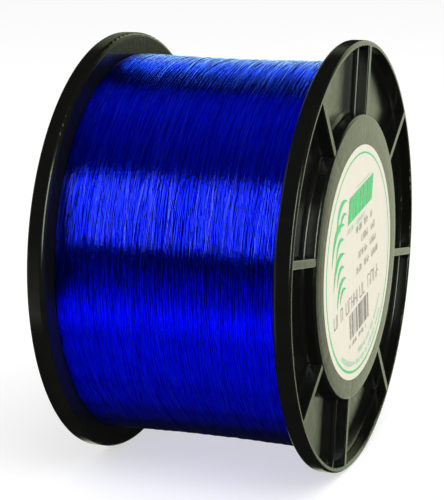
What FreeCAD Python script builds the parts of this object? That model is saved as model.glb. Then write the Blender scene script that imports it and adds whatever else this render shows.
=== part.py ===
import FreeCAD, Part
import math
import os

import Sketcher

# Bulk spool of monofilament fishing line, in millimetres.
# The spool's axis is X, +Z is up, and the origin is on the axis, halfway between the flanges.
# The label is on the +X flange. The spool rests on the rims of its two flanges.
# The hub faces stand a little proud of the ribs and rims.

DIMENSIONS = {
    "flange_diameter": 150.0,
    "overall_width": 91.2,
    "hub_lift": 0.3,
    "rim_width": 6.3,
    "rim_wall": 2.1,
    "web_thickness": 1.4,
    "hub_diameter": 99.7,
    "hub_face_thickness": 2.0,
    "crown_width": 3.0,
    "crown_inner_drop": 0.06,
    "crown_drop": 0.19,
    "rib_count": 8,
    "rib_thickness": 3.0,
    "rib_phase": 9.7,
    "foot_radius": 1.5,
    "hub_edge_radius": 1.0,
    "rim_edge_radius": 0.9,
    "line_side_edge_radius": 1.6,
    "edge_radius": 0.5,
    "barrel_wall": 2.2,
    "spigot_wall": 2.2,
    "spigot_length": 8.0,
    "bore_diameter": 19.4,
    "arbor_wall": 2.3,
    "socket_wall": 2.2,
    "socket_depth": 10.0,
    "push_fit_gap": 0.05,
    "label_diameter": 82.0,
    "label_thickness": 0.15,
    "label_drop": 1.7,
    "label_shift": 0.4,
    "line_end_gap": 0.15,
    "line_barrel_gap": 0.3,
    "line_end_diameter": 135.4,
    "line_middle_diameter": 133.7,
    "line_shoulder_radius": 0.9,
    "tape_width": 12.0,
    "tape_gap": 0.08,
    "start_tape_thickness": 0.12,
    "start_tape_angle": 40.0,
    "end_tape_thickness": 0.12,
    "end_tape_angle": 32.0,
    "end_tape_direction": 112.0,
}

HALF_WIDTH = "Dims.overall_width / 2"
RIM_RADIUS = "Dims.flange_diameter / 2"
RIM_INNER_RADIUS = "Dims.flange_diameter / 2 - Dims.rim_wall"
RIM_FACE = "Dims.overall_width / 2 - Dims.hub_lift"
HUB_RADIUS = "Dims.hub_diameter / 2"
INNER_FACE = "Dims.overall_width / 2 - Dims.hub_lift - Dims.rim_width"
WEB_FACE = "Dims.overall_width / 2 - Dims.hub_lift - Dims.rim_width + Dims.web_thickness"
DISH_DEPTH = "Dims.rim_width - Dims.web_thickness"
CROWN_INNER_RADIUS = "Dims.hub_diameter / 2 - 2 * Dims.crown_width"
CROWN_MIDDLE_RADIUS = "Dims.hub_diameter / 2 - Dims.crown_width"
CROWN_MIDDLE = "Dims.overall_width / 2 - Dims.crown_inner_drop"
CROWN_EDGE = "Dims.overall_width / 2 - Dims.crown_drop"
HUB_BACK = "Dims.overall_width / 2 - Dims.hub_face_thickness"
BARREL_BORE = "Dims.hub_diameter / 2 - Dims.barrel_wall"
SPIGOT_RADIUS = "Dims.hub_diameter / 2 - Dims.barrel_wall - Dims.push_fit_gap"
SPIGOT_BORE = "Dims.hub_diameter / 2 - Dims.barrel_wall - Dims.push_fit_gap - Dims.spigot_wall"
SPIGOT_END = "Dims.overall_width / 2 - Dims.hub_lift - Dims.rim_width - Dims.spigot_length"
BORE_RADIUS = "Dims.bore_diameter / 2"
ARBOR_RADIUS = "Dims.bore_diameter / 2 + Dims.arbor_wall"
SOCKET_BORE = "Dims.bore_diameter / 2 + Dims.arbor_wall + Dims.push_fit_gap"
SOCKET_RADIUS = "Dims.bore_diameter / 2 + Dims.arbor_wall + Dims.push_fit_gap + Dims.socket_wall"
SOCKET_END = "Dims.overall_width / 2 - Dims.hub_face_thickness - Dims.socket_depth"
LINE_HALF_WIDTH = "Dims.overall_width / 2 - Dims.hub_lift - Dims.rim_width - Dims.line_end_gap"
LINE_INNER_RADIUS = "Dims.hub_diameter / 2 + Dims.line_barrel_gap"
LINE_END_RADIUS = "Dims.line_end_diameter / 2"
LINE_MIDDLE_RADIUS = "Dims.line_middle_diameter / 2"
SADDLE_DEPTH = "(Dims.line_end_diameter - Dims.line_middle_diameter) / 2"
TAPE_HALF_WIDTH = "Dims.tape_width / 2"

ORIGIN_POINT = (-1, 1)
NEAR = 1e-4


def make_sheet(doc):
    """The driving dimensions, one per row: the name beside its value."""
    sheet = doc.addObject("Spreadsheet::Sheet", "Dims")
    for row, (name, value) in enumerate(DIMENSIONS.items(), start=1):
        sheet.set("A%d" % row, name)
        sheet.set("B%d" % row, str(value))
        sheet.setAlias("B%d" % row, name)
    doc.recompute()
    return sheet


def value(sheet, expression):
    """The number that an expression over the sheet gives."""
    return float(sheet.evalExpression(expression))


def new_body(doc, label):
    body = doc.addObject("PartDesign::Body", label)
    body.Label = label
    return body


def origin_feature(body, role):
    for feature in body.Origin.OriginFeatures:
        if feature.Role == role:
            return feature
    raise ValueError("no origin feature %s in %s" % (role, body.Label))


def new_sketch(body, name, plane):
    sketch = body.newObject("Sketcher::SketchObject", name)
    sketch.AttachmentSupport = [(origin_feature(body, plane), "")]
    sketch.MapMode = "FlatFace"
    return sketch


def fix_point(sketch, point, x_expression, y_expression):
    """Ties a vertex of the sketch to its two coordinates."""
    for kind, expression in (("DistanceX", x_expression), ("DistanceY", y_expression)):
        start = value(sketch.Document.Dims, expression)
        index = sketch.addConstraint(Sketcher.Constraint(kind, *ORIGIN_POINT, *point, start))
        sketch.setExpression("Constraints[%d]" % index, expression)


def draw_polygon(sketch, corners):
    """A closed outline of straight edges whose corners are pairs of expressions."""
    sheet = sketch.Document.Dims
    points = [FreeCAD.Vector(value(sheet, x), value(sheet, y), 0) for x, y in corners]
    count = len(points)
    for i in range(count):
        sketch.addGeometry(Part.LineSegment(points[i], points[(i + 1) % count]), False)
    for i in range(count):
        sketch.addConstraint(Sketcher.Constraint("Coincident", i, 2, (i + 1) % count, 1))
    for i, (x, y) in enumerate(corners):
        fix_point(sketch, (i, 1), x, y)


def draw_circle(sketch, radius_expression):
    radius = value(sketch.Document.Dims, radius_expression)
    circle = sketch.addGeometry(Part.Circle(FreeCAD.Vector(), FreeCAD.Vector(0, 0, 1), radius), False)
    sketch.addConstraint(Sketcher.Constraint("Coincident", circle, 3, *ORIGIN_POINT))
    index = sketch.addConstraint(Sketcher.Constraint("Radius", circle, radius))
    sketch.setExpression("Constraints[%d]" % index, radius_expression)


def revolve(body, sketch, name, angle_expression=None):
    """Turns a profile drawn in the XY plane about the spool's axis."""
    turn = body.newObject("PartDesign::Revolution", name)
    turn.Profile = sketch
    turn.ReferenceAxis = (origin_feature(body, "X_Axis"), [""])
    turn.Angle = 360
    if angle_expression:
        turn.setExpression("Angle", angle_expression)
        turn.Midplane = True
    body.Document.recompute()
    return turn


def points_along(edge):
    """Sample points inside an edge, away from its ends."""
    return edge.discretize(7)[1:-1]


def radius_of(point):
    """Distance from the spool's axis."""
    return math.hypot(point.y, point.z)


def edge_names(shape, wanted):
    """Names of the edges whose sample points all pass the test."""
    names = []
    for i, edge in enumerate(shape.Edges, start=1):
        if all(wanted(point) for point in points_along(edge)):
            names.append("Edge%d" % i)
    return names


def round_edges(body, base, name, edges, radius_expression):
    if not edges:
        raise ValueError("no edges found for %s" % name)
    fillet = body.newObject("PartDesign::Fillet", name)
    fillet.Base = (base, edges)
    fillet.Radius = value(body.Document.Dims, radius_expression)
    fillet.setExpression("Radius", radius_expression)
    body.Document.recompute()
    return fillet


def make_flange(doc, label):
    """One moulding: rim, web, ribs and hub face, with a spigot for the barrel and a socket for the arbor.

    The outer part of the hub face slopes back a little to its edge.
    """
    sheet = doc.Dims
    body = new_body(doc, label)
    profile = new_sketch(body, label + "_profile", "XY_Plane")
    draw_polygon(profile, [
        (HALF_WIDTH, BORE_RADIUS),
        (HALF_WIDTH, CROWN_INNER_RADIUS),
        (CROWN_MIDDLE, CROWN_MIDDLE_RADIUS),
        (CROWN_EDGE, HUB_RADIUS),
        (WEB_FACE, HUB_RADIUS),
        (WEB_FACE, RIM_INNER_RADIUS),
        (RIM_FACE, RIM_INNER_RADIUS),
        (RIM_FACE, RIM_RADIUS),
        (INNER_FACE, RIM_RADIUS),
        (INNER_FACE, SPIGOT_RADIUS),
        (SPIGOT_END, SPIGOT_RADIUS),
        (SPIGOT_END, SPIGOT_BORE),
        (HUB_BACK, SPIGOT_BORE),
        (HUB_BACK, SOCKET_RADIUS),
        (SOCKET_END, SOCKET_RADIUS),
        (SOCKET_END, SOCKET_BORE),
        (HUB_BACK, SOCKET_BORE),
        (HUB_BACK, BORE_RADIUS),
    ])
    disc = revolve(body, profile, label + "_disc")

    hub_face = value(sheet, HALF_WIDTH)
    crown_edge = value(sheet, CROWN_EDGE)
    rim_face = value(sheet, RIM_FACE)
    web_face = value(sheet, WEB_FACE)
    line_side_face = value(sheet, INNER_FACE)
    rim_radius = value(sheet, RIM_RADIUS)
    rim_inner_radius = value(sheet, RIM_INNER_RADIUS)
    hub_radius = value(sheet, HUB_RADIUS)
    bore_radius = value(sheet, BORE_RADIUS)

    def on_hub_edge(point):
        return abs(point.x - crown_edge) < NEAR and abs(radius_of(point) - hub_radius) < NEAR

    def on_bore_mouth(point):
        return abs(point.x - hub_face) < NEAR and abs(radius_of(point) - bore_radius) < NEAR

    def on_rim_edge(point):
        return abs(point.x - rim_face) < NEAR and abs(radius_of(point) - rim_radius) < NEAR

    def on_line_side_edge(point):
        return abs(point.x - line_side_face) < NEAR and abs(radius_of(point) - rim_radius) < NEAR

    hub_edge = round_edges(body, disc, label + "_hub_edge", edge_names(disc.Shape, on_hub_edge),
                           "Dims.hub_edge_radius")
    bore_mouth = round_edges(body, hub_edge, label + "_bore_mouth",
                             edge_names(hub_edge.Shape, on_bore_mouth), "Dims.edge_radius")
    rim_edge = round_edges(body, bore_mouth, label + "_rim_edge",
                           edge_names(bore_mouth.Shape, on_rim_edge), "Dims.rim_edge_radius")
    round_edges(body, rim_edge, label + "_line_side_edge",
                edge_names(rim_edge.Shape, on_line_side_edge), "Dims.line_side_edge_radius")

    rib_sketch = new_sketch(body, label + "_rib_outline", "YZ_Plane")
    turned = FreeCAD.Rotation(FreeCAD.Vector(0, 0, 1), -value(sheet, "Dims.rib_phase"))
    rib_sketch.AttachmentOffset = FreeCAD.Placement(FreeCAD.Vector(), turned)
    rib_sketch.setExpression(".AttachmentOffset.Rotation.Angle", "-Dims.rib_phase")
    rib_sketch.setExpression(".AttachmentOffset.Base.z", WEB_FACE)
    half_rib = "Dims.rib_thickness / 2"
    rib_inner = HUB_RADIUS + " - Dims.spigot_wall / 2"
    rib_outer = RIM_INNER_RADIUS + " + Dims.rim_wall / 2"
    draw_polygon(rib_sketch, [
        ("-" + half_rib, rib_inner),
        (half_rib, rib_inner),
        (half_rib, rib_outer),
        ("-" + half_rib, rib_outer),
    ])
    rib = body.newObject("PartDesign::Pad", label + "_rib")
    rib.Profile = rib_sketch
    rib.Length = value(sheet, DISH_DEPTH)
    rib.setExpression("Length", DISH_DEPTH)
    doc.recompute()

    ribs = body.newObject("PartDesign::PolarPattern", label + "_ribs")
    ribs.Originals = [rib]
    ribs.Axis = (origin_feature(body, "X_Axis"), [""])
    ribs.Angle = 360
    ribs.setExpression("Occurrences", "Dims.rib_count")
    body.Tip = ribs
    doc.recompute()

    def in_pocket_foot(point):
        on_floor = abs(point.x - web_face) < NEAR
        return on_floor and radius_of(point) > hub_radius - NEAR

    def on_front(point):
        on_face = abs(point.x - rim_face) < NEAR
        return on_face and hub_radius < radius_of(point) < rim_inner_radius + NEAR

    feet = edge_names(ribs.Shape, in_pocket_foot)
    foot = round_edges(body, ribs, label + "_feet", feet, "Dims.foot_radius")
    body.Tip = round_edges(body, foot, label + "_front_edges", edge_names(foot.Shape, on_front),
                           "Dims.edge_radius")
    doc.recompute()
    return body


def make_tube(doc, label, outer_expression, inner_expression, length_expression):
    """A plain round tube centred on the spool."""
    body = new_body(doc, label)
    section = new_sketch(body, label + "_section", "YZ_Plane")
    draw_circle(section, outer_expression)
    draw_circle(section, inner_expression)
    pad = body.newObject("PartDesign::Pad", label + "_wall")
    pad.Profile = section
    pad.Midplane = True
    pad.Length = value(doc.Dims, length_expression)
    pad.setExpression("Length", length_expression)
    doc.recompute()
    return body


def make_label(doc):
    """The round paper label, stuck a little off centre on the hub face, over the mouth of the bore."""
    body = new_body(doc, "paper_label")
    outline = new_sketch(body, "label_outline", "YZ_Plane")
    outline.setExpression(".AttachmentOffset.Base.x", "-Dims.label_shift")
    outline.setExpression(".AttachmentOffset.Base.y", "-Dims.label_drop")
    outline.setExpression(".AttachmentOffset.Base.z", HALF_WIDTH)
    draw_circle(outline, "Dims.label_diameter / 2")
    pad = body.newObject("PartDesign::Pad", "label_sheet")
    pad.Profile = outline
    pad.Length = DIMENSIONS["label_thickness"]
    pad.setExpression("Length", "Dims.label_thickness")
    doc.recompute()
    return body


def make_wound_line(doc):
    """The outer shape of the wound line: full between the flanges and a little lower in the middle."""
    sheet = doc.Dims
    body = new_body(doc, "wound_line")
    profile = new_sketch(body, "line_profile", "XY_Plane")
    half_width = value(sheet, LINE_HALF_WIDTH)
    end_radius = value(sheet, LINE_END_RADIUS)
    inner_radius = value(sheet, LINE_INNER_RADIUS)
    corners = [
        FreeCAD.Vector(half_width, end_radius, 0),
        FreeCAD.Vector(half_width, inner_radius, 0),
        FreeCAD.Vector(-half_width, inner_radius, 0),
        FreeCAD.Vector(-half_width, end_radius, 0),
    ]
    for start, end in zip(corners, corners[1:]):
        profile.addGeometry(Part.LineSegment(start, end), False)
    middle = FreeCAD.Vector(0, value(sheet, LINE_MIDDLE_RADIUS), 0)
    saddle = profile.addGeometry(Part.Arc(corners[3], middle, corners[0]), False)
    for first, second in ((0, 1), (1, 2)):
        profile.addConstraint(Sketcher.Constraint("Coincident", first, 2, second, 1))
    profile.addConstraint(Sketcher.Constraint("Coincident", 2, 2, saddle, 1))
    profile.addConstraint(Sketcher.Constraint("Coincident", saddle, 2, 0, 1))
    fix_point(profile, (0, 1), LINE_HALF_WIDTH, LINE_END_RADIUS)
    fix_point(profile, (1, 1), LINE_HALF_WIDTH, LINE_INNER_RADIUS)
    fix_point(profile, (2, 1), "-(" + LINE_HALF_WIDTH + ")", LINE_INNER_RADIUS)
    fix_point(profile, (2, 2), "-(" + LINE_HALF_WIDTH + ")", LINE_END_RADIUS)
    chord = "((" + LINE_HALF_WIDTH + ") ^ 2 + (" + SADDLE_DEPTH + ") ^ 2) / (2 * " + SADDLE_DEPTH + ")"
    index = profile.addConstraint(Sketcher.Constraint("Radius", saddle, value(sheet, chord)))
    profile.setExpression("Constraints[%d]" % index, chord)
    pack = revolve(body, profile, "line_pack")

    def on_shoulder(point):
        return abs(abs(point.x) - half_width) < NEAR and abs(radius_of(point) - end_radius) < NEAR

    body.Tip = round_edges(body, pack, "line_shoulders", edge_names(pack.Shape, on_shoulder),
                           "Dims.line_shoulder_radius")
    doc.recompute()
    return body


def make_tape(doc, label, inner_expression, thickness_expression, angle_expression):
    """A strip of tape bent round the axis, centred on +Y before it is placed."""
    body = new_body(doc, label)
    profile = new_sketch(body, label + "_section", "XY_Plane")
    outer = inner_expression + " + " + thickness_expression
    draw_polygon(profile, [
        ("-(" + TAPE_HALF_WIDTH + ")", inner_expression),
        (TAPE_HALF_WIDTH, inner_expression),
        (TAPE_HALF_WIDTH, outer),
        ("-(" + TAPE_HALF_WIDTH + ")", outer),
    ])
    revolve(body, profile, label + "_strip", angle_expression)
    return body


def build(doc):
    """Makes every piece of the spool and returns their bodies."""
    sheet = make_sheet(doc)
    label_side_flange = make_flange(doc, "label_side_flange")

    # The back flange is the same moulding, turned end for end, its ribs in line with the others.
    back_flange = make_flange(doc, "back_flange")
    end_for_end = FreeCAD.Rotation(FreeCAD.Vector(0, 0, 1), 180)
    ribs_in_line = FreeCAD.Rotation(FreeCAD.Vector(1, 0, 0), -2 * value(sheet, "Dims.rib_phase"))
    back_flange.Placement = FreeCAD.Placement(FreeCAD.Vector(), ribs_in_line.multiply(end_for_end))

    barrel_length = "2 * (" + INNER_FACE + ")"
    barrel = make_tube(doc, "barrel", HUB_RADIUS, BARREL_BORE, barrel_length)
    arbor_length = "2 * (" + HUB_BACK + ")"
    arbor_tube = make_tube(doc, "arbor_tube", ARBOR_RADIUS, BORE_RADIUS, arbor_length)
    paper_label = make_label(doc)
    wound_line = make_wound_line(doc)

    # One strip holds the line's first turn to the barrel, under the winding.
    start_tape = make_tape(doc, "start_tape", HUB_RADIUS + " + Dims.tape_gap",
                           "Dims.start_tape_thickness", "Dims.start_tape_angle")
    # Another holds its loose end down on the outside of the winding, at the back.
    end_tape = make_tape(doc, "end_tape", LINE_MIDDLE_RADIUS + " + Dims.tape_gap",
                         "Dims.end_tape_thickness", "Dims.end_tape_angle")
    tape_turn = 90 - value(sheet, "Dims.end_tape_direction")
    end_tape.Placement = FreeCAD.Placement(
        FreeCAD.Vector(), FreeCAD.Rotation(FreeCAD.Vector(1, 0, 0), tape_turn))
    doc.recompute()
    return [label_side_flange, back_flange, barrel, arbor_tube,
            paper_label, wound_line, start_tape, end_tape]


def check(doc, bodies):
    """Stops if an object failed or a piece isn't one good solid."""
    for item in doc.Objects:
        if "Invalid" in item.State or "Error" in item.State:
            raise RuntimeError("%s is in state %s" % (item.Label, item.State))
    for body in bodies:
        shape = body.Shape
        if shape.isNull() or not shape.isValid() or len(shape.Solids) != 1:
            raise RuntimeError("%s isn't one valid solid" % body.Label)


def export(bodies):
    os.makedirs("parts", exist_ok=True)
    for body in bodies:
        body.Shape.exportStep("parts/%s.step" % body.Label)
        box = body.Shape.BoundBox
        print("%-18s %9.0f mm3  X %7.2f..%6.2f  Z %7.2f..%6.2f" % (
            body.Label, body.Shape.Volume, box.XMin, box.XMax, box.ZMin, box.ZMax))


document = FreeCAD.newDocument("line_spool")
pieces = build(document)
check(document, pieces)
export(pieces)
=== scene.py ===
import math

import bpy
import numpy as np
from mathutils import Matrix, Vector


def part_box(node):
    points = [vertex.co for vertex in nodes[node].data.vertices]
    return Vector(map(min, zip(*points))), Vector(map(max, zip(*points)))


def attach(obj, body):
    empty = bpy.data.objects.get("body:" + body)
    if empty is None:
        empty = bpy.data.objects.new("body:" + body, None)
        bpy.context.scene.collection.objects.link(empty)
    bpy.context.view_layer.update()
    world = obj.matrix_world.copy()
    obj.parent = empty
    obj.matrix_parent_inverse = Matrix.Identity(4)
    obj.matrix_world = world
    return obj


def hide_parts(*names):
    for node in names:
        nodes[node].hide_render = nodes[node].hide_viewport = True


# Looks for the line spool. Units are metres and the frame is the CAD frame:
# the spool's axis is X, the labelled flange is at +X, and the side seen from the front faces -Y.
# Angles round the axis count from straight up (+Z) toward +Y, except for the lights.

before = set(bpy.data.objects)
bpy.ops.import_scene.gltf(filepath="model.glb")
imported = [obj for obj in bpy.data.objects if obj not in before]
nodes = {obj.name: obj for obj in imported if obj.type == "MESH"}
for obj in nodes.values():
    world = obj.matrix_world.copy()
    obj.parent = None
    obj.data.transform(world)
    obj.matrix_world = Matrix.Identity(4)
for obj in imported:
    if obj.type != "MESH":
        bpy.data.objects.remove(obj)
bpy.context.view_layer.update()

FLANGE_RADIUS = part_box("label_side_flange")[1].z
HUB_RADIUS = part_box("barrel")[1].z
LABEL_LOW, LABEL_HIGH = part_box("paper_label")
LABEL_CENTRE = (LABEL_LOW + LABEL_HIGH) / 2
LABEL_RADIUS = (LABEL_HIGH.z - LABEL_LOW.z) / 2
LINE_HALF_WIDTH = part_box("wound_line")[1].x
LINE_END_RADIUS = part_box("wound_line")[1].z
FLOOR_Z = -FLANGE_RADIUS

# The flanges.
MOULDINGS = ("label_side_flange", "back_flange", "barrel", "arbor_tube")
RIB_COUNT = 8
RIB_PHASE = math.radians(9.7)
SINK_WIDTH = 0.0016

# The line.
LINE_DIAMETER = 0.000476
SADDLE_DEPTH = 0.0008
CORE_DEPTH = 0.00070
CORE_GAP = 0.0003
WRAP_POINTS = 96
WRAP_SIDES = 6
# How far a strand strays, and in how many waves a turn.
SIDEWAYS_STRAY, SIDEWAYS_WAVES = 0.00014, 22
SHORT_RISE, SHORT_WAVES = 0.00012, 38
LONG_RISE, LONG_WAVES = 0.00017, 8

# The tape over the line's end.
TAPE_HALF_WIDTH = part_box("end_tape")[1].x
TAPE_DIRECTION = math.radians(112)
TAPE_HALF_ANGLE = math.radians(16)
TAPE_CLEARANCE = 0.00025

# The lights.
STRIP_DISTANCE = 1.5
STRIP_OFFSET = 0.36
SWEEP_DISTANCE = 1.3
CARD_DISTANCE = 1.2
WHITE = (1.0, 1.0, 1.0)
TABLE_BLUE = (0.03, 0.06, 1.0)
TOP_BLUE = (0.06, 0.15, 1.0)
OLIVE = (0.90, 1.0, 0.69)


def link(obj):
    bpy.context.scene.collection.objects.link(obj)
    return obj


def mesh_object(name, vertices, faces, material, smooth=True):
    mesh = bpy.data.meshes.new(name)
    mesh.from_pydata([tuple(v) for v in vertices], [], [tuple(f) for f in faces])
    mesh.update()
    mesh.polygons.foreach_set("use_smooth", [smooth] * len(mesh.polygons))
    obj = link(bpy.data.objects.new(name, mesh))
    mesh.materials.append(material)
    return obj


# ---------------------------------------------------------------- material nodes

class Nodes:
    """A small helper that builds one material's node tree."""

    def __init__(self, name):
        self.material = bpy.data.materials.new(name)
        self.material.use_nodes = True
        self.tree = self.material.node_tree
        self.shader = self.tree.nodes["Principled BSDF"]

    def set(self, **values):
        for key, value in values.items():
            self.shader.inputs[key.replace("_", " ")].default_value = value

    def new(self, kind, **settings):
        node = self.tree.nodes.new(kind)
        for key, value in settings.items():
            setattr(node, key, value)
        return node

    def link(self, source, target):
        self.tree.links.new(source, target)

    def feed(self, socket, value):
        if isinstance(value, bpy.types.NodeSocket):
            self.link(value, socket)
        else:
            socket.default_value = value

    def position(self):
        return self.new("ShaderNodeTexCoord").outputs["Object"]

    def normal(self):
        return self.new("ShaderNodeTexCoord").outputs["Normal"]

    def axes(self, vector):
        split = self.new("ShaderNodeSeparateXYZ")
        self.link(vector, split.inputs[0])
        return split.outputs

    def math(self, operation, first, second=0.0):
        node = self.new("ShaderNodeMath", operation=operation)
        for socket, value in zip(node.inputs, (first, second)):
            self.feed(socket, value)
        return node.outputs[0]

    def combine(self, x, y, z):
        node = self.new("ShaderNodeCombineXYZ")
        for socket, value in zip(node.inputs, (x, y, z)):
            self.feed(socket, value)
        return node.outputs[0]

    def noise(self, vector, scale, detail=2.0, roughness=0.5):
        node = self.new("ShaderNodeTexNoise")
        self.link(vector, node.inputs["Vector"])
        node.inputs["Scale"].default_value = scale
        node.inputs["Detail"].default_value = detail
        node.inputs["Roughness"].default_value = roughness
        return node.outputs["Fac"]

    def remap(self, value, low, high, to_low, to_high):
        node = self.new("ShaderNodeMapRange")
        self.feed(node.inputs["Value"], value)
        limits = {"From Min": low, "From Max": high, "To Min": to_low, "To Max": to_high}
        for key, number in limits.items():
            node.inputs[key].default_value = number
        return node.outputs["Result"]

    def mix_colour(self, factor, first, second):
        node = self.new("ShaderNodeMix", data_type="RGBA")
        self.feed(node.inputs["Factor"], factor)
        for socket, colour in ((node.inputs[6], first), (node.inputs[7], second)):
            self.feed(socket, colour if isinstance(colour, bpy.types.NodeSocket) else (*colour, 1.0))
        return node.outputs[2]

    def bump(self, height, distance):
        node = self.new("ShaderNodeBump")
        node.inputs["Strength"].default_value = 1.0
        node.inputs["Distance"].default_value = distance
        self.link(height, node.inputs["Height"])
        self.link(node.outputs["Normal"], self.shader.inputs["Normal"])


def black_moulding():
    """Semi-gloss black plastic: flow streaks on the flat faces, sink lines over the ribs, scuffs and dust."""
    n = Nodes("black_moulding")
    n.set(IOR=1.5, Specular_Tint=(1.0, 0.99, 0.80, 1.0))
    where = n.position()
    x, y, z = n.axes(where)
    radius = n.math("SQRT", n.math("ADD", n.math("MULTIPLY", y, y), n.math("MULTIPLY", z, z)))
    angle = n.math("ARCTAN2", y, z)
    flat = n.math("POWER", n.math("ABSOLUTE", n.axes(n.normal())[0]), 8.0)

    # Radial flow streaks, long along the radius and narrow round the axis.
    polar = n.combine(n.math("MULTIPLY", angle, 0.9), n.math("MULTIPLY", radius, 9.0),
                      n.math("MULTIPLY", x, 4.0))
    streak = n.noise(polar, 22.0, 4.0, 0.6)
    # Sink lines opposite the ribs.
    step = 2 * math.pi / RIB_COUNT
    turned = n.math("ADD", n.math("SUBTRACT", angle, RIB_PHASE), step / 2 + 2 * math.pi)
    offset = n.math("SUBTRACT", n.math("MODULO", turned, step), step / 2)
    across = n.math("DIVIDE", n.math("MULTIPLY", offset, radius), SINK_WIDTH)
    # Deeper on the side that faces the line, which lies right over the ribs.
    inside, outside = LINE_HALF_WIDTH + 0.0006, LINE_HALF_WIDTH + 0.0016
    depth = n.remap(n.math("ABSOLUTE", x), inside, outside, 0.8, 0.16)
    sink = n.math("POWER", math.e, n.math("MULTIPLY", n.math("MULTIPLY", across, across), -1.0))
    grain = n.noise(where, 2600.0, 2.0, 0.6)
    waves = n.noise(where, 55.0, 2.0, 0.5)
    scuff = n.noise(where, 260.0, 5.0, 0.75)

    height = n.math("SUBTRACT", n.math("MULTIPLY", streak, 0.45), n.math("MULTIPLY", sink, depth))
    height = n.math("MULTIPLY", height, flat)
    height = n.math("ADD", height, n.math("MULTIPLY", grain, 0.010))
    height = n.math("ADD", height, n.math("MULTIPLY", waves, 0.5))
    n.bump(height, 0.00010)

    specks = n.new("ShaderNodeTexVoronoi")
    n.link(where, specks.inputs["Vector"])
    specks.inputs["Scale"].default_value = 210.0
    dust = n.math("LESS_THAN", specks.outputs["Distance"], n.remap(waves, 0.45, 0.75, 0.0, 0.055))
    body = n.mix_colour(streak, (0.0030, 0.0032, 0.0026), (0.0065, 0.0068, 0.0054))
    n.link(n.mix_colour(n.math("MULTIPLY", dust, 0.6), body, (0.10, 0.10, 0.09)),
           n.shader.inputs["Base Color"])
    rough = n.remap(scuff, 0.3, 0.75, 0.16, 0.25)
    rough = n.math("ADD", rough, n.math("MULTIPLY", n.math("MULTIPLY", streak, flat), 0.05))
    n.link(rough, n.shader.inputs["Roughness"])
    return n.material


def label_paper():
    """Uncoated cream paper with a fine fibre and a faint mottle."""
    n = Nodes("label_paper")
    n.set(IOR=1.45, Specular_IOR_Level=0.3)
    where = n.position()
    fibre = n.noise(where, 1800.0, 4.0, 0.7)
    mottle = n.noise(where, 130.0, 3.0, 0.5)
    n.link(n.mix_colour(mottle, (0.80, 0.755, 0.63), (0.74, 0.70, 0.585)),
           n.shader.inputs["Base Color"])
    n.link(n.remap(fibre, 0.3, 0.7, 0.55, 0.72), n.shader.inputs["Roughness"])
    n.bump(fibre, 0.00003)
    return n.material


def ink(name, colour, paper_share):
    """Printed ink, thinner in places so that the paper shows through."""
    n = Nodes(name)
    n.set(IOR=1.45, Specular_IOR_Level=0.35)
    where = n.position()
    patchy = n.noise(where, 900.0, 4.0, 0.7)
    thin = tuple(c + (p - c) * paper_share for c, p in zip(colour, (0.77, 0.73, 0.61)))
    n.link(n.mix_colour(n.remap(patchy, 0.35, 0.75, 0.0, 1.0), colour, thin),
           n.shader.inputs["Base Color"])
    n.link(n.remap(patchy, 0.3, 0.7, 0.45, 0.6), n.shader.inputs["Roughness"])
    return n.material


def blue_line(name, deep, bright, coat, spread):
    """Blue monofilament, shaded as a tinted metal for the shine from inside, with a clear coat over it.

    Light that goes into one clear strand leaves through its neighbours, so the inner shine turns by spread
    from each strand's own roundness toward the roundness of the whole winding. The coat doesn't turn.
    """
    n = Nodes(name)
    n.set(Metallic=0.985, Coat_Weight=coat, Coat_Roughness=0.05, Coat_IOR=1.5)
    where = n.position()
    x, y, z = n.axes(where)
    angle = n.math("ARCTAN2", y, z)
    along = n.combine(n.math("MULTIPLY", x, 2600.0), n.math("MULTIPLY", angle, 5.0), 0.0)
    strand = n.noise(along, 1.0, 2.0, 0.6)
    n.link(n.mix_colour(n.remap(strand, 0.38, 0.66, 0.0, 1.0), deep, bright),
           n.shader.inputs["Base Color"])
    n.link(n.remap(strand, 0.3, 0.7, 0.12, 0.19), n.shader.inputs["Roughness"])
    outward = n.new("ShaderNodeVectorMath", operation="NORMALIZE")
    n.link(n.combine(0.0, y, z), outward.inputs[0])
    turned = n.new("ShaderNodeMix", data_type="VECTOR")
    turned.inputs["Factor"].default_value = spread
    n.link(n.new("ShaderNodeNewGeometry").outputs["Normal"], turned.inputs[4])
    n.link(outward.outputs[0], turned.inputs[5])
    normal = n.new("ShaderNodeVectorMath", operation="NORMALIZE")
    n.link(turned.outputs[1], normal.inputs[0])
    n.link(normal.outputs[0], n.shader.inputs["Normal"])
    return n.material


def clear_tape():
    """Clear film tape, slightly cloudy."""
    n = Nodes("clear_tape")
    n.set(Alpha=0.45, IOR=1.48, Coat_Weight=0.5, Coat_Roughness=0.1)
    where = n.position()
    cloud = n.noise(where, 320.0, 3.0, 0.6)
    n.link(n.mix_colour(cloud, (0.62, 0.66, 0.74), (0.80, 0.83, 0.88)),
           n.shader.inputs["Base Color"])
    n.link(n.remap(cloud, 0.3, 0.7, 0.15, 0.3), n.shader.inputs["Roughness"])
    return n.material


# ---------------------------------------------------------------- the winding

def winding_radius(x):
    """Outer radius of the wound line at x: a little lower in the middle."""
    return LINE_END_RADIUS - SADDLE_DEPTH * (1 - (x / LINE_HALF_WIDTH) ** 2)


def smooth_noise(rng, count, points_per_wave):
    """Smooth random values from -1 to 1, one per path point."""
    knots = rng.uniform(-1, 1, int(count / points_per_wave) + 5)
    at = np.arange(count) / points_per_wave
    i = at.astype(int)
    f = at - i
    p0, p1, p2, p3 = knots[i], knots[i + 1], knots[i + 2], knots[i + 3]
    return 0.5 * (2 * p1 + (p2 - p0) * f + (2 * p0 - 5 * p1 + 4 * p2 - p3) * f**2
                  + (3 * p1 - p0 - 3 * p2 + p3) * f**3)


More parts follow.
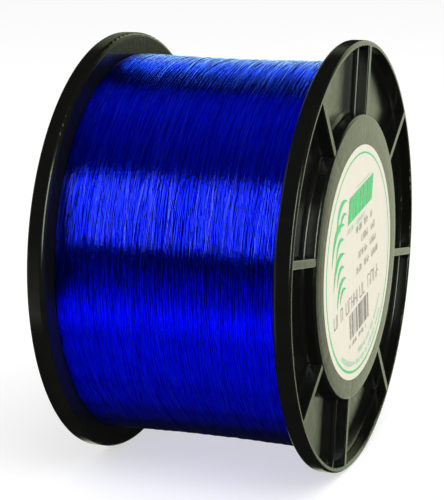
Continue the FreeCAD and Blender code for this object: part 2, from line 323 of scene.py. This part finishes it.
def tube(path, radius, sides):
    """Vertices and faces of a closed round tube along a path round the spool's axis."""
    count = len(path)
    tangent = np.gradient(path, axis=0)
    tangent /= np.linalg.norm(tangent, axis=1)[:, None]
    outward = path * np.array([0.0, 1.0, 1.0])
    outward -= tangent * (outward * tangent).sum(1)[:, None]
    outward /= np.linalg.norm(outward, axis=1)[:, None]
    sideways = np.cross(tangent, outward)
    turn = np.arange(sides) * 2 * np.pi / sides
    ring = (outward[:, None, :] * np.cos(turn)[None, :, None]
            + sideways[:, None, :] * np.sin(turn)[None, :, None])
    vertices = (path[:, None, :] + ring * radius).reshape(-1, 3)
    a = (np.arange(count - 1)[:, None] * sides + np.arange(sides)[None, :]).ravel()
    b = (np.arange(count - 1)[:, None] * sides + (np.arange(sides)[None, :] + 1) % sides).ravel()
    faces = [tuple(q) for q in np.stack([a, b, b + sides, a + sides], 1).tolist()]
    faces.append(tuple(range(sides - 1, -1, -1)))
    faces.append(tuple(range((count - 1) * sides, count * sides)))
    return vertices, faces


def strand_path(rng, turns, points_per_turn, start_angle, slowest, fastest, lift):
    """One length of line that travels back and forth between the flanges as it goes round.

    It advances by slowest to fastest metres a turn, and lift is its level over the winding's own surface.
    """
    count = int(turns * points_per_turn)
    reach = LINE_HALF_WIDTH - LINE_DIAMETER * 0.8
    pace = smooth_noise(rng, count, points_per_turn * 2.5) * 0.5 + 0.5
    advance = np.clip(slowest + (fastest - slowest) * pace, slowest, fastest)
    travel = np.cumsum(advance) / points_per_turn + rng.uniform(0, 4 * reach)
    x = np.abs(travel % (4 * reach) - 2 * reach) - reach
    x += SIDEWAYS_STRAY * smooth_noise(rng, count, points_per_turn / SIDEWAYS_WAVES)
    x = np.clip(x, -reach, reach)
    level = lift + SHORT_RISE * smooth_noise(rng, count, points_per_turn / SHORT_WAVES)
    level += LONG_RISE * smooth_noise(rng, count, points_per_turn / LONG_WAVES)
    angle = start_angle + np.arange(count) * 2 * np.pi / points_per_turn
    # The tape keeps the turns under it down.
    beside = np.abs(x) < TAPE_HALF_WIDTH * 1.05
    below = np.cos(angle - TAPE_DIRECTION) > math.cos(TAPE_HALF_ANGLE * 1.1)
    level = np.where(beside & below, np.minimum(level, -TAPE_CLEARANCE), level)
    radius = winding_radius(x) + level
    return np.stack([x, radius * np.sin(angle), radius * np.cos(angle)], 1)


def make_core(material):
    """The layer under the loose outer turns: close turns side by side, as one closed ridged sleeve."""
    turns = int(2 * LINE_HALF_WIDTH / (LINE_DIAMETER * 1.05))
    per_turn = 4
    rows = turns * per_turn + 1
    around = 96
    rng = np.random.default_rng(11)
    x = np.linspace(-LINE_HALF_WIDTH, LINE_HALF_WIDTH, rows)
    phase = np.arange(rows) / per_turn
    ridge = np.sqrt(np.clip(1 - (2 * (phase % 1.0) - 1) ** 2, 0.0, 1.0)) * LINE_DIAMETER * 0.45
    angle = np.arange(around) * 2 * np.pi / around
    drift = np.stack([smooth_noise(rng, rows, 40) for _ in range(3)])
    wander = (drift[0][:, None] * np.sin(angle)[None, :]
              + drift[1][:, None] * np.cos(2 * angle)[None, :]) * 0.0002
    wander *= (1 - (x / LINE_HALF_WIDTH) ** 4)[:, None]
    radius = (winding_radius(x) - CORE_DEPTH + ridge)[:, None] + 0.00006 * drift[2][:, None]
    radius = np.broadcast_to(radius, (rows, around))
    vertices = np.stack([np.broadcast_to(x[:, None], radius.shape) + wander,
                         radius * np.sin(angle), radius * np.cos(angle)], 2).reshape(-1, 3)
    faces = []
    for row in range(rows - 1):
        for k in range(around):
            nxt = (k + 1) % around
            here, beyond = row * around, (row + 1) * around
            faces.append((here + k, here + nxt, beyond + nxt, beyond + k))
    inner = HUB_RADIUS + CORE_GAP
    base = len(vertices)
    ends = [[(side * LINE_HALF_WIDTH, inner * math.sin(a), inner * math.cos(a)) for a in angle]
            for side in (-1, 1)]
    vertices = np.concatenate([vertices, np.array(ends[0]), np.array(ends[1])])
    last = (rows - 1) * around
    for k in range(around):
        nxt = (k + 1) % around
        faces.append((base + k, base + nxt, nxt, k))
        faces.append((last + k, last + nxt, base + around + nxt, base + around + k))
        faces.append((base + around + k, base + around + nxt, base + nxt, base + k))
    return mesh_object("line_under_layer", vertices, faces, material)


def make_wraps(plain, shiny):
    """The outer turns of the line, as real strands that cross at small angles."""
    rng = np.random.default_rng(7)
    layers = (
        # Name, material, turns, slowest and fastest advance a turn, and level.
        ("line_wraps_1", plain, 170, 0.006, 0.018, -0.00042),
        ("line_wraps_2", plain, 170, 0.008, 0.026, -0.00038),
        ("line_wraps_3", plain, 165, 0.008, 0.028, -0.00034),
        ("line_wraps_4", shiny, 75, 0.014, 0.038, -0.00030),
    )
    groups = []
    for index, (name, material, turns, slowest, fastest, lift) in enumerate(layers):
        path = strand_path(rng, turns, WRAP_POINTS, index * 2.1, slowest, fastest, lift)
        wraps = mesh_object(name, *tube(path, LINE_DIAMETER / 2, WRAP_SIDES), material)
        # Clear line lets the light through to the turns beside it.
        wraps.visible_shadow = False
        groups.append(wraps)
    return groups


def make_line_end(material):
    """The line's own end: it rises out of the turns, runs under the tape and stops a little beyond it."""
    along = np.linspace(0.0, 1.0, 90)
    first = TAPE_DIRECTION - 2.5 * TAPE_HALF_ANGLE
    last = TAPE_DIRECTION + 1.5 * TAPE_HALF_ANGLE
    angle = first + (last - first) * along
    x = 0.0035 - 0.0055 * along
    rise = np.clip((angle - first) / (1.4 * TAPE_HALF_ANGLE), 0.0, 1.0)
    loose = np.clip((angle - TAPE_DIRECTION - TAPE_HALF_ANGLE) / (0.5 * TAPE_HALF_ANGLE), 0.0, 1.0)
    level = -0.0008 + (0.0008 - TAPE_CLEARANCE) * rise + 0.0006 * loose**2
    radius = winding_radius(x) + level
    path = np.stack([x - 0.0006 * loose**2, radius * np.sin(angle), radius * np.cos(angle)], 1)
    return mesh_object("line_end", *tube(path, LINE_DIAMETER / 2, 12), material)


# ---------------------------------------------------------------- label print
# Places and sizes on the label are in label radii.

PRINT_GAP = 0.00004
STROKE_STEP = 0.00001
PRINT_TURN = math.radians(8.5)


def on_label(points, height):
    """Points on the label, given as (right, up), turned as the print is turned."""
    c, s = math.cos(PRINT_TURN), math.sin(PRINT_TURN)
    placed = []
    for right, up in points:
        y = LABEL_CENTRE.y + (right * c - up * s) * LABEL_RADIUS
        z = LABEL_CENTRE.z + (right * s + up * c) * LABEL_RADIUS
        placed.append((LABEL_HIGH.x + height, y, z))
    return placed


class Print:
    """Collects flat outlines into one printed piece."""

    def __init__(self):
        self.vertices = []
        self.faces = []
        self.height = PRINT_GAP

    def outline(self, points):
        base = len(self.vertices)
        self.vertices += on_label(points, self.height)
        self.faces.append(tuple(range(base, base + len(points))))

    def band(self, left, right):
        """A strip between two lines that have the same number of points."""
        for i in range(len(left) - 1):
            self.outline([left[i], right[i], right[i + 1], left[i + 1]])

    def arc(self, radius, width, start, end, steps, centre=(0.0, 0.0)):
        angles = [math.radians(start + (end - start) * i / steps) for i in range(steps + 1)]
        ring = [[(centre[0] + r * math.cos(a), centre[1] + r * math.sin(a)) for a in angles]
                for r in (radius - width / 2, radius + width / 2)]
        self.band(ring[0], ring[1])

    def stroke(self, start, bend, end, width):
        """A brush stroke along a curve, pointed at both ends. Each lies a hair over the one before."""
        self.height += STROKE_STEP
        steps = 14
        start, bend, end = (Vector(p) for p in (start, bend, end))
        sides = ([], [])
        for i in range(steps + 1):
            f = i / steps
            centre = start * (1 - f) ** 2 + bend * 2 * f * (1 - f) + end * f**2
            along = ((bend - start) * (1 - f) + (end - bend) * f).normalized()
            half = max(width * math.sin(math.pi * f), width * 0.04)
            across = Vector((-along.y, along.x)) * half
            sides[0].append(tuple(centre - across))
            sides[1].append(tuple(centre + across))
        self.band(*sides)

    def bar(self, left, bottom, width, height, slant=0.0):
        self.outline([(left, bottom), (left + width, bottom),
                      (left + width + slant, bottom + height), (left + slant, bottom + height)])

    def make(self, name, material):
        return mesh_object(name, self.vertices, self.faces, material, smooth=False)


def words(sheet, rng, left, bottom, height, lengths, gap, weight):
    """A line of print too small to read: short strokes in word groups."""
    x = left
    stroke = height * weight
    for letters in lengths:
        for _ in range(letters):
            width = height * rng.uniform(0.46, 0.66)
            sheet.bar(x, bottom, stroke, height)
            if rng.random() < 0.6:
                level = rng.choice([0.0, 0.42, 1 - weight])
                sheet.bar(x + stroke, bottom + height * level, width - 2 * stroke, stroke)
            if rng.random() < 0.7:
                sheet.bar(x + width - stroke, bottom, stroke, height * rng.choice([1.0, 0.5]))
            x += width + height * 0.16
        x += gap


def make_print(green, pale_green, grey):
    """The label's print: ring, wave strokes, slanted bars, unreadable text, upright bars, print on an arc."""
    rng = np.random.default_rng(5)
    ring = Print()
    steps = 180
    for k in range(steps):
        start = 360 * k / steps
        heavy = 0.5 + 0.5 * math.cos(math.radians(start - 235))
        ring.arc(0.934, 0.014 + 0.008 * heavy, start, start + 360 / steps, 1)
    pieces = [ring.make("label_ring", green)]

    motif = Print()
    # Four wave crests, one above another, each a long curl over a short one.
    crests = ((-0.62, 0.42, 0.34), (-0.76, 0.22, 0.38), (-0.74, 0.00, 0.34), (-0.66, -0.18, 0.28))
    for left, bottom, size in crests:
        motif.stroke((left, bottom), (left + size * 0.30, bottom + size * 0.95),
                     (left + size, bottom + size * 0.66), size * 0.085)
        motif.stroke((left + size * 0.28, bottom + size * 0.02),
                     (left + size * 0.52, bottom + size * 0.58),
                     (left + size * 0.92, bottom + size * 0.34), size * 0.06)
    # A row of plain slanted bars.
    right = -0.29
    for width in (0.100, 0.060, 0.120, 0.070, 0.110, 0.060, 0.100):
        motif.bar(right, 0.430, width, 0.210, 0.075)
        right += width + 0.016
    pieces.append(motif.make("label_motif", green))

    fine = Print()
    fine.bar(0.02, 0.662, 0.38, 0.010, 0.002)
    words(fine, rng, -0.32, 0.352, 0.042, (8, 9), 0.05, 0.13)
    for radius, height, first, last in ((0.865, 0.050, 228, 312), (0.775, 0.055, 262, 318)):
        a = first
        while a < last:
            width = rng.uniform(1.0, 2.4)
            fine.arc(radius, height * rng.uniform(0.5, 1.0), a, a + width, 2)
            a += width + rng.choice([0.8, 0.8, 0.8, 2.6])
    pieces.append(fine.make("label_fine_print", pale_green))

    text = Print()
    lines = (
        # Left, bottom, height, letters in each word, gap between words, and weight.
        (-0.06, 0.275, 0.060, (4, 3, 2), 0.06, 0.13),
        (0.09, 0.157, 0.060, (5, 3), 0.08, 0.13),
        (-0.01, 0.035, 0.060, (6, 5), 0.08, 0.13),
        (-0.08, -0.085, 0.060, (4, 4, 5), 0.06, 0.13),
        (-0.76, -0.325, 0.118, (3, 7, 4), 0.07, 0.09),
        (-0.35, -0.655, 0.042, (1, 5, 5, 1), 0.05, 0.13),
    )
    for line in lines:
        words(text, rng, *line)
    pieces.append(text.make("label_text", grey))

    bars = Print()
    x = -0.33
    while x < 0.24:
        width = rng.choice([0.005, 0.009, 0.014, 0.019])
        bars.bar(x, -0.585, width, 0.225)
        x += width + rng.choice([0.006, 0.010, 0.016, 0.024])
    pieces.append(bars.make("label_bars", grey))
    return pieces


# ---------------------------------------------------------------- the scene

def make_floor():
    n = Nodes("floor")
    n.set(Base_Color=(0.55, 0.55, 0.55, 1.0), Roughness=0.9, Specular_IOR_Level=0.0,
          Emission_Color=(1.0, 1.0, 1.0, 1.0), Emission_Strength=0.58)
    half = 12.0
    corners = [(x * half, y * half, FLOOR_Z) for x, y in ((-1, -1), (1, -1), (1, 1), (-1, 1))]
    floor = mesh_object("floor", corners, [(0, 1, 2, 3)], n.material, smooth=False)
    floor.visible_glossy = False
    floor.visible_shadow = False


def soft_box(name, direction, distance, width, height, radiance, tint=WHITE, seen_by="glossy", side=None):
    """A rectangular light that faces the spool, and either shows in gloss or lights matt surfaces.

    Its brightness is radiance, whatever its size. Its width runs along side, which is level unless given.
    """
    away = Vector(direction).normalized()
    across = (Vector(side) if side else Vector((0.0, 0.0, 1.0)).cross(away)).normalized()
    upward = away.cross(across).normalized()
    across = upward.cross(away)
    data = bpy.data.lights.new(name, "AREA")
    data.shape = "RECTANGLE"
    data.size = width
    data.size_y = height
    data.energy = radiance * math.pi * width * height
    data.color = tint
    light = link(bpy.data.objects.new(name, data))
    light.location = away * distance
    light.rotation_euler = Matrix((across, upward, away)).transposed().to_euler()
    light.visible_camera = False
    light.visible_diffuse = seen_by == "diffuse"
    light.visible_glossy = seen_by == "glossy"
    return light


def strip(name, low, high, length, radiance, tint, tilt=0.0, shift=0.0):
    """A long soft box beside the winding, from low to high in degrees, up from the front and over the top.

    Tilt turns its length off the spool's axis, and shift moves it along the axis.
    """
    middle, half = math.radians((low + high) / 2), math.radians((high - low) / 2)
    direction = (shift - STRIP_OFFSET, -math.cos(middle), math.sin(middle))
    return soft_box(name, direction, STRIP_DISTANCE, length, 2 * STRIP_DISTANCE * math.tan(half),
                    radiance, tint, side=(1.0, -tilt * math.sin(middle), -tilt * math.cos(middle)))


def make_world():
    """Even white studio air: bright behind the spool, soft on matt surfaces, almost dark in gloss."""
    world = bpy.data.worlds.new("studio")
    bpy.context.scene.world = world
    world.use_nodes = True
    tree = world.node_tree
    background = tree.nodes["Background"]
    path = tree.nodes.new("ShaderNodeLightPath")
    scale = tree.nodes.new("ShaderNodeMapRange")
    matt_strength, gloss_strength, extra_when_seen = 0.60, 0.012, 0.40
    scale.inputs["To Min"].default_value = matt_strength
    scale.inputs["To Max"].default_value = gloss_strength
    tree.links.new(path.outputs["Is Glossy Ray"], scale.inputs["Value"])
    lift = tree.nodes.new("ShaderNodeMath")
    lift.operation = "MULTIPLY_ADD"
    tree.links.new(path.outputs["Is Camera Ray"], lift.inputs[0])
    lift.inputs[1].default_value = extra_when_seen
    tree.links.new(scale.outputs["Result"], lift.inputs[2])
    tree.links.new(lift.outputs[0], background.inputs["Strength"])
    background.inputs["Color"].default_value = (1.0, 1.0, 1.0, 1.0)


def light_only(lights, objects, name):
    """Keeps some lights to some objects, as a photographer does with flags."""
    group = bpy.data.collections.new(name)
    for obj in objects:
        group.objects.link(obj)
    for light in lights:
        light.light_linking.receiver_collection = group


def compass(azimuth, elevation):
    """Direction from azimuth, turned from +Y toward +X, and elevation, in degrees."""
    a, e = math.radians(azimuth), math.radians(elevation)
    return (math.sin(a) * math.cos(e), math.cos(a) * math.cos(e), math.sin(e))


def make_lights(winding, plastic):
    make_world()
    # Soft light for matt surfaces: from above, and from the label's side.
    soft_box("key", (0.5, -0.5, 1.0), 2.0, 1.6, 1.6, 3.0, seen_by="diffuse")
    soft_box("fill", (1.0, -0.35, 0.15), 2.0, 1.5, 1.5, 1.1, seen_by="diffuse")

    winding_lights = [
        # The bright band across the front, and the dimmer panel over it.
        strip("front_box", 14.0, 49.5, 0.74, 7.2, WHITE, 0.38, -0.36),
        strip("top_panel_low", 56, 72, 4.4, 0.16, TOP_BLUE, 0.1),
        strip("top_panel_middle", 72, 88, 4.4, 0.29, TOP_BLUE, 0.1),
        strip("top_panel_high", 88, 114, 4.4, 0.45, TOP_BLUE, 0.1),
        # White wall behind, mirrored by the top of the winding.
        strip("back_low", 133, 148, 0.9, 1.9, (0.06, 0.36, 1.0)),
        strip("back_high", 148, 172, 0.9, 1.75, (0.48, 0.95, 1.0)),
        # Table in front and below, where the line's own blue falls on it.
        strip("table_front", -34, -19.5, 2.4, 1.9, TABLE_BLUE, 0.25),
        strip("table_middle", -54, -34, 3.6, 0.76, TABLE_BLUE, 0.1),
        strip("table_near", -76, -54, 3.6, 0.64, TABLE_BLUE),
        strip("table_below", -98, -76, 3.6, 0.40, TABLE_BLUE),
        strip("table_far", -114, -98, 3.6, 0.14, TABLE_BLUE),
    ]
    light_only(winding_lights, winding, "winding_lights")

    label_side = [
        # Sweep behind, brightest in the middle and dimmer to the right.
        soft_box("sweep_middle", compass(9.5, 5), SWEEP_DISTANCE, 0.62, 1.9, 1.22, OLIVE),
        soft_box("sweep_right", compass(30, 16), SWEEP_DISTANCE, 0.42, 1.1, 0.80, OLIVE),
    ]
    light_only(label_side, plastic[:1], "label_side_lights")
    back_side = [
        # The same sweep as the back flange mirrors it, which is higher up.
        soft_box("sweep_back_middle", compass(3, 21), SWEEP_DISTANCE, 0.34, 1.2, 1.45, OLIVE),
        soft_box("sweep_back_right", compass(24, 20), SWEEP_DISTANCE, 0.42, 1.1, 0.62, OLIVE),
    ]
    light_only(back_side, plastic[1:], "back_side_lights")
    both_sides = [
        soft_box("sweep_left", compass(-36, 16), SWEEP_DISTANCE, 0.84, 1.0, 0.26, OLIVE),
        soft_box("sweep_low", compass(-20, -31), SWEEP_DISTANCE, 0.56, 0.36, 0.90, OLIVE),
        # Upright light at the front right, for the thin lines along the rounded edges.
        soft_box("edge_light", (0.52, -0.83, 0.43), 1.1, 0.46, 0.80, 8.0, (0.84, 0.95, 1.0)),
        soft_box("left_card", (-1.0, -0.15, 0.25), CARD_DISTANCE, 0.8, 0.8, 0.5),
        # Low cards that show the shape of both end faces from the sides.
        soft_box("side_card", (1.0, 0.0, 0.10), CARD_DISTANCE, 0.7, 0.7, 0.25),
        soft_box("low_card", (-0.68, -0.68, -0.26), CARD_DISTANCE, 0.7, 0.7, 0.5),
    ]
    light_only(both_sides, plastic, "plastic_lights")


def make_camera():
    """The photo's camera: a little above the spool and to its right, without roll."""
    azimuth = math.radians(20.08)
    elevation = math.radians(12.21)
    distance = 8.388 * FLANGE_RADIUS
    back = Vector((math.sin(azimuth) * math.cos(elevation),
                   -math.cos(azimuth) * math.cos(elevation),
                   math.sin(elevation)))
    data = bpy.data.cameras.new("camera")
    data.lens = 127.2
    data.sensor_width = 36.0
    data.shift_x = -0.0274
    data.shift_y = -0.0043
    camera = link(bpy.data.objects.new("camera", data))
    camera.location = back * distance
    camera.rotation_euler = (-back).to_track_quat("-Z", "Y").to_euler()
    bpy.context.scene.camera = camera


def dress(node, material):
    """Gives a CAD node its finished material."""
    mesh = nodes[node].data
    mesh.materials.clear()
    mesh.materials.append(material)


black = black_moulding()
paper = label_paper()
tape = clear_tape()
for part in MOULDINGS:
    dress(part, black)
dress("paper_label", paper)
dress("start_tape", tape)
dress("end_tape", tape)

strand_material = blue_line("line_strand", (0.0002, 0.002, 0.62), (0.005, 0.034, 0.95),
                            coat=0.16, spread=0.20)
glint_material = blue_line("line_glint", (0.001, 0.010, 0.62), (0.006, 0.040, 0.95),
                           coat=1.0, spread=0.0)
# The layer under the turns gets a lighter blue than the strands: painted fill light that lifts the shade in
# the gaps between turns.
under_painted_fill_material = blue_line("line_under", (0.001, 0.010, 0.72), (0.003, 0.026, 0.95),
                           coat=0.0, spread=0.75)
core = make_core(under_painted_fill_material)
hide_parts("wound_line")
winding = [core, *make_wraps(strand_material, glint_material), make_line_end(glint_material)]
for piece in winding:
    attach(piece, "root")

green_ink = ink("green_ink", (0.07, 0.62, 0.20), 0.25)
pale_ink = ink("pale_green_ink", (0.36, 0.66, 0.45), 0.5)
grey_ink = ink("grey_ink", (0.16, 0.17, 0.15), 0.35)
for printed in make_print(green_ink, pale_ink, grey_ink):
    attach(printed, "root")

make_floor()
make_lights(winding, [nodes[part] for part in MOULDINGS])
make_camera()
bpy.context.scene.view_settings.view_transform = "Standard"
